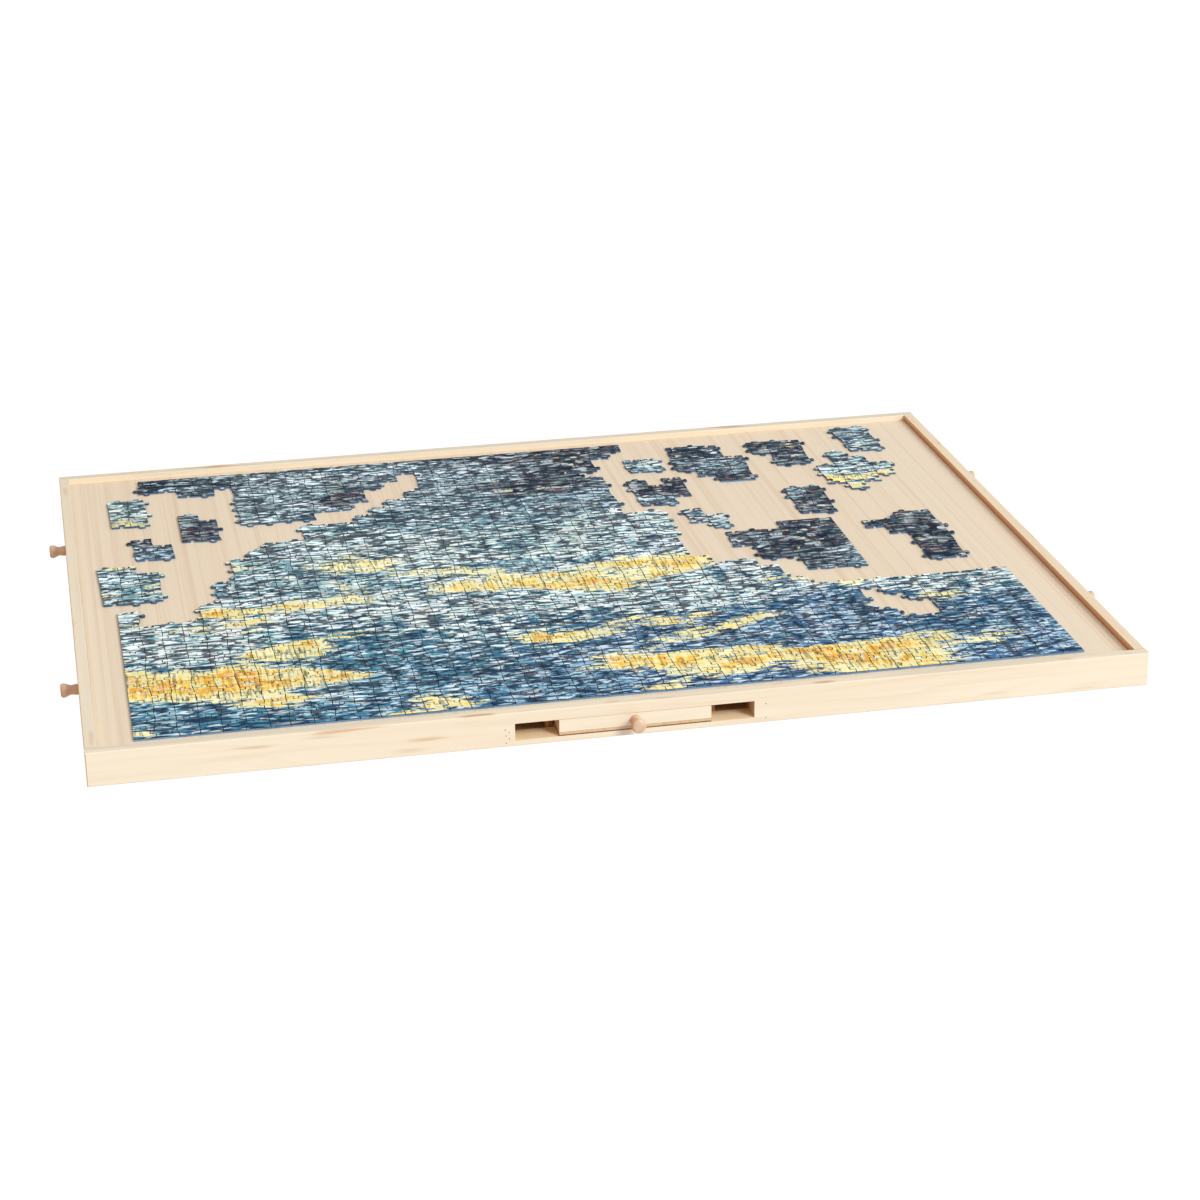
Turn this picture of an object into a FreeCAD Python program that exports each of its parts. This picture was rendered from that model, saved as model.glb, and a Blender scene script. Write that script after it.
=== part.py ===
import FreeCAD, Part
import math
import os

# Puzzle board with six sorting drawers and a part-made jigsaw on its work surface.
# Millimetres. X runs along the width, Y to the back, Z up from the underside.
# The origin is the middle of the underside.

# Board
board_width = 900.0
board_depth = 680.0

# Rails: one timber section all round, rebated above and below for the two panels
rim_width = 10.0
seat_width = 10.0
base_strip = 5.0
rim_stand = 6.0
rail_ease = 0.8

# Panels between the rails
panel_thickness = 4.0
bottom_thickness = 3.0
panel_fit = 0.2

# Drawer slots, one in each long rail and two in each side rail
slot_width = 203.0
slot_height = 15.0

# Bearers that carry the work surface beside the slots
bearer_width = 16.0

# Drawers; the two spaces are what is left behind their back ends
drawer_width = 129.0
middle_space = 40.0
bearer_space = 32.5
front_thickness = 8.0
side_thickness = 5.0
back_thickness = 5.0
drawer_bottom_thickness = 3.3
back_drop = 2.0
front_ease = 0.5
under_clearance = 0.3
top_clearance = 0.4
guide_clearance = 0.8
stop_clearance = 0.3

# Drawer runners, glued to the bottom panel
guide_width = 7.0
slip_width = 4.0
stop_width = 7.0
lead_in = 5.0

# Turned knobs, their rounds cut in a few flat strips
knob_height = 8.0
knob_length = 15.0
knob_base_radius = 4.7
knob_neck_radius = 4.1
knob_bulb_radius = 6.2
knob_end_radius = 4.4
knob_base_length = 3.0
knob_neck_place = 5.6
knob_bulb_place = 11.8
knob_strips = 20
waist_steps = 3
bulb_steps = 5

# Jigsaw: its margins to the rims, and its thickness
puzzle_left_margin = 30.0
puzzle_right_margin = 38.2
puzzle_front_margin = 17.0
puzzle_back_margin = 12.0
piece_thickness = 2.0

# One tab of a jigsaw cut: (share along the cut, share of the cut's length that it stands out)
tab_shares = [(0.41, 0.0), (0.34, 0.13), (0.42, 0.24), (0.58, 0.24), (0.66, 0.13), (0.59, 0.0)]

# The joined pieces, drawn from the back row to the front row: one mark is one piece
joined_drawing = [
    "..###########################...............",
    "..##########################................",
    "....##.#########.##########.................",
    ".......########..##########.................",
    ".......#######...#########..................",
    ".......#######..###########.................",
    ".......######..############.................",
    ".......####...#############.................",
    ".............##############.................",
    "..........#################.................",
    "..........#################.................",
    "........#####################...............",
    ".......######################...............",
    "......#######################...............",
    "......#######################...............",
    "......#######################...............",
    ".....########################...............",
    ".....########################...............",
    ".....#########################..............",
    "#...############################............",
    "#...#############################...........",
    "#################################...........",
    "##################################..........",
    "############################################",
    "####################################.#######",
    "####################################..######",
    "####################################...#####",
    "#####################################..#####",
    "############################################",
    "############################################",
    "############################################",
    "############################################",
    "############################################",
    "############################################",
]

# Loose clusters: place of the front left corner from the jigsaw's own, as shares of the length
# and depth of one piece, turn in degrees, sides that are the picture's straight border, and the
# pieces drawn from the back row to the front row
left_cluster_shares = [
    ((0.3, 27.0), 1.0, "left", ["##", "##", "##", "##"]),
    ((3.8, 24.1), 0.0, "left", ["#.", "##", "##", "##"]),
    ((1.3, 21.9), 2.0, "right", ["#.", "##", "##"]),
    ((-0.6, 16.1), 1.5, "left", ["##.", "###", "###", "###", "###"]),
]
back_cluster_shares = [
    ((28.7, 29.2), 3.0, "", ["##", "##"]),
    ((31.2, 26.8), -2.0, "front", ["###.", "###.", "####", "####", ".###", "..##"]),
    ((35.9, 28.7), -3.0, "", ["###", "###", ".##", ".##"]),
    ((38.8, 24.0), -2.0, "", [".#..", ".##.", "####", "####", "###.", ".#.."]),
    ((41.5, 29.9), 2.0, "", ["##", "##", "##", "##"]),
]
right_cluster_shares = [
    ((28.2, 23.9), 1.0, "", ["#.#", "###", "###", "##."]),
    ((30.2, 19.8), 3.0, "", ["#.", "##", ".#"]),
    ((36.1, 20.9), -2.0, "", ["##", "##", "##", "##"]),
    ((31.4, 13.0), -0.5, "right back", ["...###", "######", "######", ".#####", ".#####",
                                       "...###", "...###"]),
    ((38.7, 13.0), -1.0, "", ["..##", "####", ".###", "..##", "..##", "..##", "..##"]),
]

# Worked-out heights and places
overrun = 1.0
seat_height = base_strip + slot_height
work_height = seat_height + panel_thickness
rail_height = work_height + rim_stand
rail_width = rim_width + seat_width
drawer_foot = base_strip + under_clearance
front_foot = drawer_foot + drawer_bottom_thickness
drawer_top = seat_height - top_clearance
bearer_place = slot_width / 2 + bearer_width / 2
side_slot_place = board_depth / 4
inner_half_width = board_width / 2 - rail_width
inner_half_depth = board_depth / 2 - rail_width
end_drawer_length = board_depth / 2 - middle_space
side_drawer_length = board_width / 2 - bearer_place - bearer_width / 2 - bearer_space
jigsaw_width = board_width - 2 * rim_width - puzzle_left_margin - puzzle_right_margin
jigsaw_depth = board_depth - 2 * rim_width - puzzle_front_margin - puzzle_back_margin
piece_width = jigsaw_width / len(joined_drawing[0])
piece_depth = jigsaw_depth / len(joined_drawing)
up = FreeCAD.Vector(0, 0, 1)
middle = FreeCAD.Vector(0, 0, 0)

# Pieces of a rail and of a drawer are made with the board's outer face at Y = 0 and the board
# behind it, then turned to a side and moved out to that side's face
quarter_turns = {"front": 0, "right": 1, "back": 2, "left": -1}
face_places = {
    "front": board_depth / 2,
    "right": board_width / 2,
    "back": board_depth / 2,
    "left": board_width / 2,
}

# Each drawer: its side, its place along a side rail and its length
drawers = {
    "front": ("front", 0, end_drawer_length),
    "back": ("back", 0, end_drawer_length),
    "left_front": ("left", -side_slot_place, side_drawer_length),
    "left_back": ("left", side_slot_place, side_drawer_length),
    "right_front": ("right", -side_slot_place, side_drawer_length),
    "right_back": ("right", side_slot_place, side_drawer_length),
}


def block(x_low, x_high, y_low, y_high, z_low, z_high):
    """A straight block between its lowest and highest corners."""
    corner = FreeCAD.Vector(x_low, y_low, z_low)
    return Part.makeBox(x_high - x_low, y_high - y_low, z_high - z_low, corner)


def half_turned(shape):
    """A copy of a shape, brought to the opposite side of the board."""
    copy = shape.copy()
    copy.rotate(middle, up, 180)
    return copy


def on_side(shape, side, shift=0):
    """A copy of a piece made with the board's outer face at Y = 0, brought to one side."""
    copy = shape.copy()
    copy.translate(FreeCAD.Vector(0, -face_places[side], 0))
    copy.rotate(middle, up, 90 * quarter_turns[side])
    copy.translate(FreeCAD.Vector(0, shift, 0))
    return copy


def face_of(points):
    """A flat face inside a closed row of points."""
    return Part.Face(Part.makePolygon(points + points[:1]))


def save(name, shape):
    """Write one sub-part."""
    shape.exportStep("parts/" + name + ".step")


def rail_section():
    """The rail's section in the YZ plane, its outer face at Y = 0."""
    soft = rail_ease * (1 - math.sqrt(0.5))

    def at(y, z):
        return FreeCAD.Vector(0, y, z)

    outer_round = Part.Arc(
        at(0, rail_height - rail_ease),
        at(soft, rail_height - soft),
        at(rail_ease, rail_height),
    )
    inner_round = Part.Arc(
        at(rim_width - rail_ease, rail_height),
        at(rim_width - soft, rail_height - soft),
        at(rim_width, rail_height - rail_ease),
    )
    foot_round = Part.Arc(
        at(rail_ease, 0),
        at(soft, soft),
        at(0, rail_ease),
    )
    corners = [
        at(rim_width, rail_height - rail_ease),
        at(rim_width, seat_height),
        at(rail_width, seat_height),
        at(rail_width, bottom_thickness),
        at(rim_width, bottom_thickness),
        at(rim_width, 0),
        at(rail_ease, 0),
    ]
    edges = [outer_round.toShape()]
    edges.append(Part.makeLine(at(rail_ease, rail_height), at(rim_width - rail_ease, rail_height)))
    edges.append(inner_round.toShape())
    for start, end in zip(corners, corners[1:]):
        edges.append(Part.makeLine(start, end))
    edges.append(foot_round.toShape())
    edges.append(Part.makeLine(at(0, rail_ease), at(0, rail_height - rail_ease)))
    return Part.Face(Part.Wire(edges))


def rail(half_length, slot_places):
    """A rail of one section from end to end, with its drawer slots cut through."""
    section = rail_section()
    section.translate(FreeCAD.Vector(-half_length, 0, 0))
    timber = section.extrude(FreeCAD.Vector(2 * half_length, 0, 0))
    for centre in slot_places:
        timber = timber.cut(block(
            centre - slot_width / 2, centre + slot_width / 2,
            -overrun, rail_width + overrun,
            base_strip, seat_height,
        ))
    return timber


def long_rail():
    """The front rail: it runs the full width, and its outer upright corners are eased."""
    half_length = board_width / 2
    timber = rail(half_length, [0])
    for end in (-1, 1):
        corner = face_of([
            FreeCAD.Vector(end * (half_length - rail_ease - overrun), -overrun, -overrun),
            FreeCAD.Vector(end * (half_length + overrun), -overrun, -overrun),
            FreeCAD.Vector(end * (half_length + overrun), rail_ease + overrun, -overrun),
        ])
        timber = timber.cut(corner.extrude(FreeCAD.Vector(0, 0, rail_height + 2 * overrun)))
    return on_side(timber, "front")


def side_rail(long_rails):
    """The left rail: it butts between the long rails, its ends coped to their rebates."""
    timber = rail(board_depth / 2 - rim_width, [-side_slot_place, side_slot_place])
    timber = on_side(timber, "left")
    for neighbour in long_rails:
        timber = timber.cut(neighbour)
    return timber


def panel(z_low, z_high):
    """A panel let in between the rims of the four rails."""
    half_width = board_width / 2 - rim_width - panel_fit
    half_depth = board_depth / 2 - rim_width - panel_fit
    return block(-half_width, half_width, -half_depth, half_depth, z_low, z_high)


def long_bearer():
    """A bearer from the front rail to the back rail, beside the long rails' slots."""
    return block(
        -bearer_place - bearer_width / 2, -bearer_place + bearer_width / 2,
        -inner_half_depth, inner_half_depth,
        bottom_thickness, seat_height,
    )


def side_bearers():
    """The four bearers at the ends of the left rail's slots, from the rail to the long bearer."""
    bearers = []
    for drawer_side in (-1, 1):
        for slot_end in (-1, 1):
            centre = drawer_side * side_slot_place + slot_end * bearer_place
            bearers.append(block(
                -inner_half_width, -bearer_place - bearer_width / 2,
                centre - bearer_width / 2, centre + bearer_width / 2,
                bottom_thickness, seat_height,
            ))
    return Part.makeCompound(bearers)


def guide(side, front, back):
    """One guide strip beside a drawer, with a lead-in cut at its front end."""
    inner = side * (drawer_width / 2 + guide_clearance)
    outer = inner + side * guide_width
    outline = [
        FreeCAD.Vector(outer, front, bottom_thickness),
        FreeCAD.Vector(outer, back, bottom_thickness),
        FreeCAD.Vector(inner, back, bottom_thickness),
        FreeCAD.Vector(inner, front + lead_in, bottom_thickness),
        FreeCAD.Vector(inner + side * lead_in, front, bottom_thickness),
    ]
    return face_of(outline).extrude(FreeCAD.Vector(0, 0, seat_height - bottom_thickness))


def runners(length):
    """Two guides, the two slips that the drawer slides on, and the stop behind it."""
    front = rail_width
    stop_face = length + stop_clearance
    back = stop_face + stop_width
    guide_face = drawer_width / 2 + guide_clearance
    pieces = []
    for side in (-1, 1):
        pieces.append(guide(side, front, back))
        low, high = sorted([side * guide_face, side * (guide_face - slip_width)])
        pieces.append(block(low, high, front, stop_face, bottom_thickness, base_strip))
    pieces.append(block(-guide_face, guide_face, stop_face, back, bottom_thickness, seat_height))
    return Part.makeCompound(pieces)


def drawer_bottom(length):
    """The thin base board of a drawer, which shows under its front."""
    return block(-drawer_width / 2, drawer_width / 2, 0, length, drawer_foot, front_foot)


def drawer_front():
    """The drawer front, with its upper outer edge eased."""
    end = -drawer_width / 2
    outline = [
        FreeCAD.Vector(end, 0, front_foot),
        FreeCAD.Vector(end, front_thickness, front_foot),
        FreeCAD.Vector(end, front_thickness, drawer_top),
        FreeCAD.Vector(end, front_ease, drawer_top),
        FreeCAD.Vector(end, 0, drawer_top - front_ease),
    ]
    return face_of(outline).extrude(FreeCAD.Vector(drawer_width, 0, 0))


def drawer_sides(length):
    """The two side strips behind the drawer front."""
    strips = []
    for side in (-1, 1):
        low, high = sorted([side * drawer_width / 2, side * (drawer_width / 2 - side_thickness)])
        strips.append(block(low, high, front_thickness, length, front_foot, drawer_top))
    return Part.makeCompound(strips)


def drawer_back(length):
    """The back strip between the sides, a little lower than they are."""
    half_width = drawer_width / 2 - side_thickness
    return block(-half_width, half_width, length - back_thickness, length, front_foot, drawer_top - back_drop)


def knob_profile():
    """The knob's profile as points (radius, distance out): a straight base, a waist and a bulb."""
    hip_radius = (knob_neck_radius + knob_bulb_radius) / 2
    hip_place = (knob_neck_place + knob_bulb_place) / 2
    waist = Part.Arc(
        FreeCAD.Vector(knob_base_radius, knob_base_length, 0),
        FreeCAD.Vector(knob_neck_radius, knob_neck_place, 0),
        FreeCAD.Vector(hip_radius, hip_place, 0),
    )
    bulb = Part.Arc(
        FreeCAD.Vector(hip_radius, hip_place, 0),
        FreeCAD.Vector(knob_bulb_radius, knob_bulb_place, 0),
        FreeCAD.Vector(knob_end_radius, knob_length, 0),
    )
    profile = [FreeCAD.Vector(knob_base_radius, 0, 0)]
    profile += waist.toShape().discretize(waist_steps + 1)
    profile += bulb.toShape().discretize(bulb_steps + 1)[1:]
    return profile


def knob():
    """A turned knob that stands on the drawer front, its profile carried round in flat strips."""
    rings = []
    for point in knob_profile():
        ring = []
        for strip in range(knob_strips):
            turn = 2 * math.pi * strip / knob_strips
            ring.append(FreeCAD.Vector(
                point.x * math.cos(turn),
                -point.y,
                drawer_foot + knob_height + point.x * math.sin(turn),
            ))
        rings.append(ring)
    faces = [face_of(rings[0]), face_of(rings[-1])]
    for inner, outer in zip(rings, rings[1:]):
        for strip in range(knob_strips):
            after = (strip + 1) % knob_strips
            faces.append(face_of([inner[strip], inner[after], outer[after], outer[strip]]))
    return Part.Solid(Part.Shell(faces))


def cells_of(drawing):
    """The set of (column, row) that a drawing marks, counted from its front left corner."""
    return {(column, row) for row, line in enumerate(reversed(drawing))
            for column, mark in enumerate(line) if mark == "#"}


def tab_side(column, row, upright):
    """Which way the tab of a cut points: a fixed mixed rule, so that neighbours differ."""
    mixed = 3 * column + 5 * row + column * row // 2 + 2 * upright
    return 1 if mixed % 4 < 2 else -1


def border_cut(start, end, cells, borders):
    """Whether a cut lies on one of the picture's straight borders."""
    columns = [column for column, row in cells]
    rows = [row for column, row in cells]
    places = {
        "left": (0, min(columns)),
        "right": (0, max(columns) + 1),
        "front": (1, min(rows)),
        "back": (1, max(rows) + 1),
    }
    for border in borders.split():
        axis, value = places[border]
        if start[axis] == value and end[axis] == value:
            return True
    return False


def cut_points(start, end, cells, borders):
    """The corner at the start of one cut, and the corners of its tab."""
    along = (end[0] - start[0], end[1] - start[1])
    points = [(start[0], start[1])]
    if border_cut(start, end, cells, borders):
        return points
    low = min(start, end)
    upright = along[0] == 0
    side = tab_side(low[0], low[1], upright)
    outward = (-side, 0) if upright else (0, side)
    reverse = start != low
    for share, out in (reversed(tab_shares) if reverse else tab_shares):
        step = 1 - share if reverse else share
        points.append((
            start[0] + step * along[0] + out * outward[0],
            start[1] + step * along[1] + out * outward[1],
        ))
    return points


def outlines(cells):
    """The closed chains of cuts round a set of pieces, with the pieces on the left."""
    cuts = {}
    for column, row in cells:
        if (column, row - 1) not in cells:
            cuts[(column, row)] = (column + 1, row)
        if (column + 1, row) not in cells:
            cuts[(column + 1, row)] = (column + 1, row + 1)
        if (column, row + 1) not in cells:
            cuts[(column + 1, row + 1)] = (column, row + 1)
        if (column - 1, row) not in cells:
            cuts[(column, row + 1)] = (column, row)
    chains = []
    while cuts:
        chain = [min(cuts)]
        while chain[-1] in cuts:
            chain.append(cuts.pop(chain[-1]))
        chains.append(chain)
    return chains


def jigsaw(cells, borders):
    """One solid for pieces that are joined, with the tabs and sockets of its outline."""
    faces = []
    for chain in outlines(cells):
        points = []
        for start, end in zip(chain, chain[1:]):
            for column, row in cut_points(start, end, cells, borders):
                points.append(FreeCAD.Vector(column * piece_width, row * piece_depth, 0))
        faces.append(face_of(points))
    faces.sort(key=lambda face: face.Area, reverse=True)
    outline = faces[0]
    for hole in faces[1:]:
        outline = outline.cut(hole)
    return outline.extrude(FreeCAD.Vector(0, 0, piece_thickness))


def puzzle_corner():
    """The front left corner of the jigsaw on the work surface."""
    return FreeCAD.Vector(
        -board_width / 2 + rim_width + puzzle_left_margin,
        -board_depth / 2 + rim_width + puzzle_front_margin,
        work_height,
    )


def joined_jigsaw():
    """The part of the jigsaw that is already joined."""
    solid = jigsaw(cells_of(joined_drawing), "left right front back")
    solid.translate(puzzle_corner())
    return solid


def loose_clusters(cluster_shares):
    """Clusters that wait beside the joined part, as separate solids."""
    solids = []
    for place_share, turn, borders, drawing in cluster_shares:
        solid = jigsaw(cells_of(drawing), borders)
        solid.rotate(middle, up, turn)
        solid.translate(FreeCAD.Vector(place_share[0] * piece_width, place_share[1] * piece_depth, 0))
        solid.translate(puzzle_corner())
        solids.append(solid)
    return Part.makeCompound(solids)


def build_frame():
    """Rails, panels and bearers."""
    front = long_rail()
    back = half_turned(front)
    left = side_rail([front, back])
    save("front_rail", front)
    save("back_rail", back)
    save("left_rail", left)
    save("right_rail", half_turned(left))
    save("work_surface", panel(seat_height, work_height))
    save("bottom_panel", panel(0, bottom_thickness))
    save("left_long_bearer", long_bearer())
    save("right_long_bearer", half_turned(long_bearer()))
    save("left_bearers", side_bearers())
    save("right_bearers", half_turned(side_bearers()))


def build_drawers():
    """Six drawers and their runners, the same pieces on each side of the board."""
    for place, (side, shift, length) in drawers.items():
        pieces = {
            "drawer_front": drawer_front(),
            "drawer_sides": drawer_sides(length),
            "drawer_back": drawer_back(length),
            "drawer_bottom": drawer_bottom(length),
            "knob": knob(),
            "runners": runners(length),
        }
        for piece, shape in pieces.items():
            save(place + "_" + piece, on_side(shape, side, shift))


def build_jigsaw():
    """The joined part and the loose clusters."""
    save("puzzle_joined", joined_jigsaw())
    save("puzzle_clusters_left", loose_clusters(left_cluster_shares))
    save("puzzle_clusters_back", loose_clusters(back_cluster_shares))
    save("puzzle_clusters_right", loose_clusters(right_cluster_shares))


os.makedirs("parts", exist_ok=True)
build_frame()
build_drawers()
build_jigsaw()
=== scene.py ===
import math
import random

import bmesh
import bpy
from mathutils import Matrix, Vector


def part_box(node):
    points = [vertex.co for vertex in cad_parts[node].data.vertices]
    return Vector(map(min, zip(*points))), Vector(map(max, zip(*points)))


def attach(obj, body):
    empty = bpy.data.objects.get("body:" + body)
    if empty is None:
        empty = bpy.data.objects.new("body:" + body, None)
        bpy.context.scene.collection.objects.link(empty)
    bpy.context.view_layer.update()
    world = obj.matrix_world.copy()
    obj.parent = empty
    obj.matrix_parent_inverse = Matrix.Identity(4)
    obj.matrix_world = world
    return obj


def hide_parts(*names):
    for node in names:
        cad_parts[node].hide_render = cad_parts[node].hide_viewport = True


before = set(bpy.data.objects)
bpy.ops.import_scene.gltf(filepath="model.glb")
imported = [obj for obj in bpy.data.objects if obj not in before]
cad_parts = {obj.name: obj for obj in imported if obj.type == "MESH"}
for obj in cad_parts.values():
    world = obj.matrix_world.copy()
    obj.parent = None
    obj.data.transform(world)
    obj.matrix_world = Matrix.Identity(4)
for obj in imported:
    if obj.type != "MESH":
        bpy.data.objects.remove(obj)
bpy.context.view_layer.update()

# Puzzle board with six sorting drawers and a part-made jigsaw. Metres, in the board's own frame.
mm = 0.001

# The drawers, and whether they slide along Y (on the long rails) or X (on the side rails)
drawer_ways = {
    "front": "Y",
    "back": "Y",
    "left_front": "X",
    "left_back": "X",
    "right_front": "X",
    "right_back": "X",
}

# Quarter turns that bring a piece made for the front rail to each side
side_turns = {"front": 0, "right": 1, "back": 2, "left": -1}


# Shader maths

class Value:
    """A number socket. An expression on values adds its Math nodes."""

    def __init__(self, nodes, socket):
        self.nodes = nodes
        self.socket = socket

    def math(self, operation, *terms):
        """The result of one Math node."""
        node = self.nodes.node("ShaderNodeMath", {"operation": operation}, dict(enumerate(terms)))
        return Value(self.nodes, node.outputs[0])

    def __add__(self, other):
        return self.math("ADD", self, other)

    def __radd__(self, other):
        return self.math("ADD", other, self)

    def __sub__(self, other):
        return self.math("SUBTRACT", self, other)

    def __rsub__(self, other):
        return self.math("SUBTRACT", other, self)

    def __mul__(self, other):
        return self.math("MULTIPLY", self, other)

    def __rmul__(self, other):
        return self.math("MULTIPLY", other, self)

    def __truediv__(self, other):
        return self.math("DIVIDE", self, other)

    def __pow__(self, other):
        return self.math("POWER", self, other)

    def sine(self):
        return self.math("SINE", self)

    def root(self):
        return self.math("SQRT", self)

    def size(self):
        return self.math("ABSOLUTE", self)

    def fraction(self):
        return self.math("FRACT", self)

    def ease(self, low, high):
        """0 at low, 1 at high and a soft step between; low may be the larger."""
        node = self.nodes.node(
            "ShaderNodeMapRange", {"interpolation_type": "SMOOTHSTEP"},
            {"Value": self, "From Min": low, "From Max": high},
        )
        return Value(self.nodes, node.outputs[0])


class Nodes:
    """The nodes of a material or of the room."""

    def __init__(self, tree):
        self.tree = tree

    def node(self, kind, settings=None, inputs=None):
        """A node of one kind: its settings first, then the values or links of its sockets."""
        node = self.tree.nodes.new(kind)
        for setting, value in (settings or {}).items():
            if setting == "stops":
                self.set_stops(node.color_ramp.elements, value)
            else:
                setattr(node, setting, value)
        for socket, value in (inputs or {}).items():
            self.feed(node, socket, value)
        return node

    def feed(self, node, socket, value):
        """Link a value to a socket, or set the socket."""
        if isinstance(value, Value):
            value = value.socket
        if isinstance(value, bpy.types.NodeSocket):
            self.tree.links.new(value, node.inputs[socket])
        else:
            node.inputs[socket].default_value = value

    def set_stops(self, elements, stops):
        """Give a colour ramp its stops."""
        while len(elements) < len(stops):
            elements.new(1.0)
        for element, (place, colour) in zip(elements, stops):
            element.position = place
            element.color = colour

    def mix(self, share, first, second, blend="MIX"):
        """Two colours mixed by a share of the second; by number, sockets 6 and 7 take the colours."""
        node = self.node(
            "ShaderNodeMix", {"data_type": "RGBA", "blend_type": blend},
            {0: share, 6: first, 7: second},
        )
        return node.outputs[2]


class Finish(Nodes):
    """A material round one principled shader."""

    def __init__(self, name, **sockets):
        self.material = bpy.data.materials.new(name)
        self.material.use_nodes = True
        super().__init__(self.material.node_tree)
        self.tree.nodes.clear()
        self.shader = self.node("ShaderNodeBsdfPrincipled")
        self.node("ShaderNodeOutputMaterial", {}, {"Surface": self.shader.outputs[0]})
        self.shade(**sockets)

    def shade(self, **sockets):
        """Feed sockets of the principled shader."""
        for socket, value in sockets.items():
            self.feed(self.shader, socket.replace("_", " "), value)

    def place(self):
        """The point's place in the board's frame."""
        return self.node("ShaderNodeTexCoord").outputs["Object"]

    def split(self, vector):
        """The three numbers of a vector."""
        node = self.node("ShaderNodeSeparateXYZ", {}, {0: vector})
        return [Value(self, socket) for socket in node.outputs]

    def vector(self, x, y, z):
        return self.node("ShaderNodeCombineXYZ", {}, {0: x, 1: y, 2: z}).outputs[0]

    def grained(self, way):
        """The point's place along the grain, across it and up."""
        x, y, z = self.split(self.place())
        return self.vector(x, y, z) if way == "X" else self.vector(y, x, z)

    def facing(self, way):
        """1 where the surface faces along X, Y or Z, -1 where it faces the other way."""
        return self.split(self.node("ShaderNodeNewGeometry").outputs["Normal"])["XYZ".index(way)]

    def scaled(self, point, scale, start=(0.0, 0.0, 0.0)):
        """A point times a scale for each axis, moved on by a start."""
        node = self.node(
            "ShaderNodeVectorMath", {"operation": "MULTIPLY_ADD"}, {0: point, 1: scale, 2: start})
        return node.outputs[0]

    def noise(self, point, scale, start=(0.0, 0.0, 0.0), detail=2.0, roughness=0.5):
        """Smooth noise between 0 and 1, with so many swells to a metre along each axis."""
        node = self.node("ShaderNodeTexNoise", {}, {
            "Vector": self.scaled(point, scale, start), "Scale": 1.0,
            "Detail": detail, "Roughness": roughness,
        })
        return Value(self, node.outputs[0])

    def cells(self, point, scale):
        """Irregular cells of mixed colours, so many to a metre along each axis."""
        node = self.node("ShaderNodeTexVoronoi", {"feature": "F1"}, {
            "Vector": self.scaled(point, scale), "Scale": 1.0, "Randomness": 1.0,
        })
        return node.outputs["Color"]

    def ramp(self, value, stops):
        return self.node("ShaderNodeValToRGB", {"stops": stops}, {0: value}).outputs[0]

    def dimmed(self, colour, level):
        """A colour times a level."""
        return self.mix(1.0, colour, self.vector(level, level, level), "MULTIPLY")

    def bump(self, height, distance, strength):
        node = self.node(
            "ShaderNodeBump", {}, {"Height": height, "Distance": distance, "Strength": strength})
        return node.outputs[0]


def tone(red, green, blue):
    """A colour from its screen values, 0 to 255."""
    linear = []
    for level in (red, green, blue):
        share = level / 255
        linear.append(share / 12.92 if share <= 0.04045 else ((share + 0.055) / 1.055) ** 2.4)
    return (*linear, 1.0)


def grey(level):
    return (level, level, level, 1.0)


# Wood. The three scales of a noise are for the grain's direction, across it and upwards.

wood_ior = 1.45

frame_tones = dict(pale=tone(236, 214, 181), late=tone(223, 191, 149), resin=tone(199, 145, 92))
right_rail_tones = dict(pale=tone(238, 206, 164), late=tone(222, 180, 128), resin=tone(196, 134, 80))
drawer_tones = dict(pale=tone(237, 216, 183), late=tone(224, 195, 154), resin=tone(203, 155, 104))
# Darker, oranger pine for the runners and bearers: painted shade for the slots' insides
runner_tones = dict(pale=tone(205, 148, 88), late=tone(178, 116, 62), resin=tone(150, 84, 40))
# The work surface's very dark underside tone is painted shade
surface_tones = dict(pale=tone(229, 204, 170), deep=tone(208, 173, 134), under=tone(112, 64, 30))
# The bottom panel's orange tones: painted shade for the slots' insides
bottom_tones = dict(pale=tone(216, 160, 98), deep=tone(190, 124, 68), under=tone(205, 171, 128))
tray_tones = dict(pale=tone(217, 178, 133), deep=tone(182, 129, 85), under=tone(196, 151, 104))
beech_tones = dict(pale=tone(221, 187, 153), deep=tone(194, 138, 94))
# A grey-beige tone for stains on the tops, also laid on every top as painted shade
top_stain_and_shade_tone = tone(217, 196, 165)
# Painted light for the slots' floors
slot_floor_light_tone = tone(255, 216, 162)
# Painted shade at the foot of the right rail's inner wall
rim_foot_shade_tone = tone(124, 70, 36)
# Painted shade along the plywood's lower edge
lower_edge_shade_tone = tone(120, 74, 42)

# The log's pith, across and up, how far its rings drift and wander, counted in rings, and how
# narrow their late wood is
pith_across = 31 * mm
pith_up = -52 * mm
ring_drift = 9.0
ring_wander = 1.1
late_wood_power = 2.6

# Heights between which the painted light on the slots' floors, the painted shade at the foot of
# the rim and the painted shade along the plywood's lower edge, above the sheet's foot, fade in
slot_floor_light_fade = (11 * mm, 8 * mm)
rim_foot_shade_fade = (28 * mm, 25 * mm)
lower_edge_shade_fade = (1.3 * mm, 0.5 * mm)

# How often a turning tool's rings return along a knob, in radians to a metre
tool_ring_rate = 9000.0


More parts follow.
